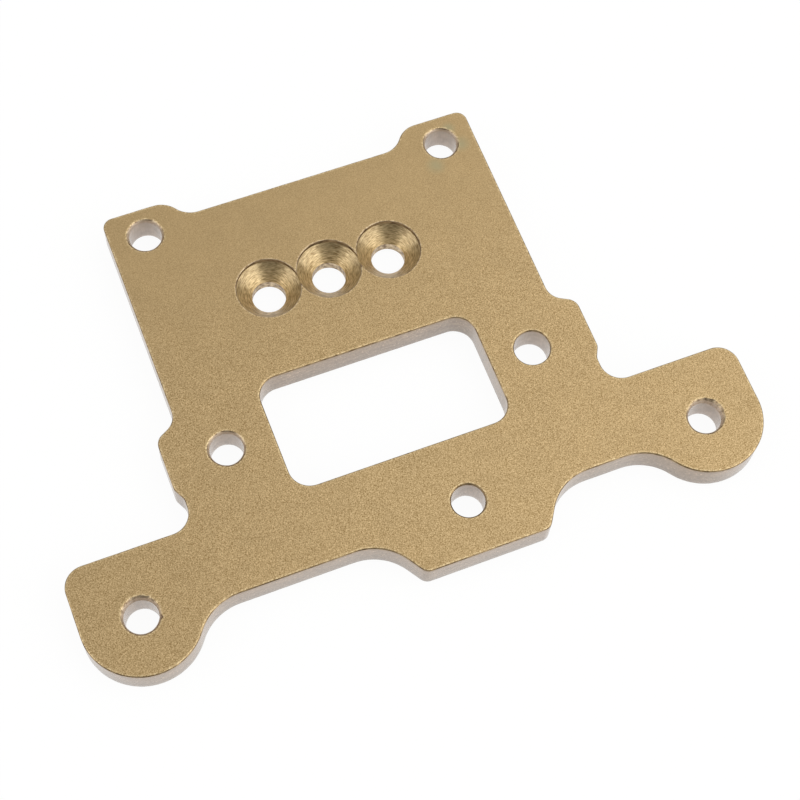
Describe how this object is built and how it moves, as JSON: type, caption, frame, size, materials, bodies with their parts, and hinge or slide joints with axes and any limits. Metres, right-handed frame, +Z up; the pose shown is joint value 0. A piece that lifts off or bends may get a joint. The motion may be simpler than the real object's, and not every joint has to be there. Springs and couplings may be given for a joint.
{
  "type": "cnc machined aluminium mounting plate",
  "caption": "Flat milled plate with a window, a rectangle of screw holes, a row of touching countersinks, an eared arm on each side and an offset tab.",
  "frame": {"origin": "centre of the rectangle of four plain holes, on the underside", "axes": "+Z up, through the plate's thickness; +Y towards the rear edge with the shallow recess; +X to the right, from ear to ear"},
  "size_m": [0.065, 0.0437, 0.003],
  "materials": {
    "plate": "bead-blasted face with a thin gold-bronze anodised layer, paler milled edges"
  },
  "bodies": {
    "root": {"mounting_plate": "plate"}
  },
  "joints": []
}
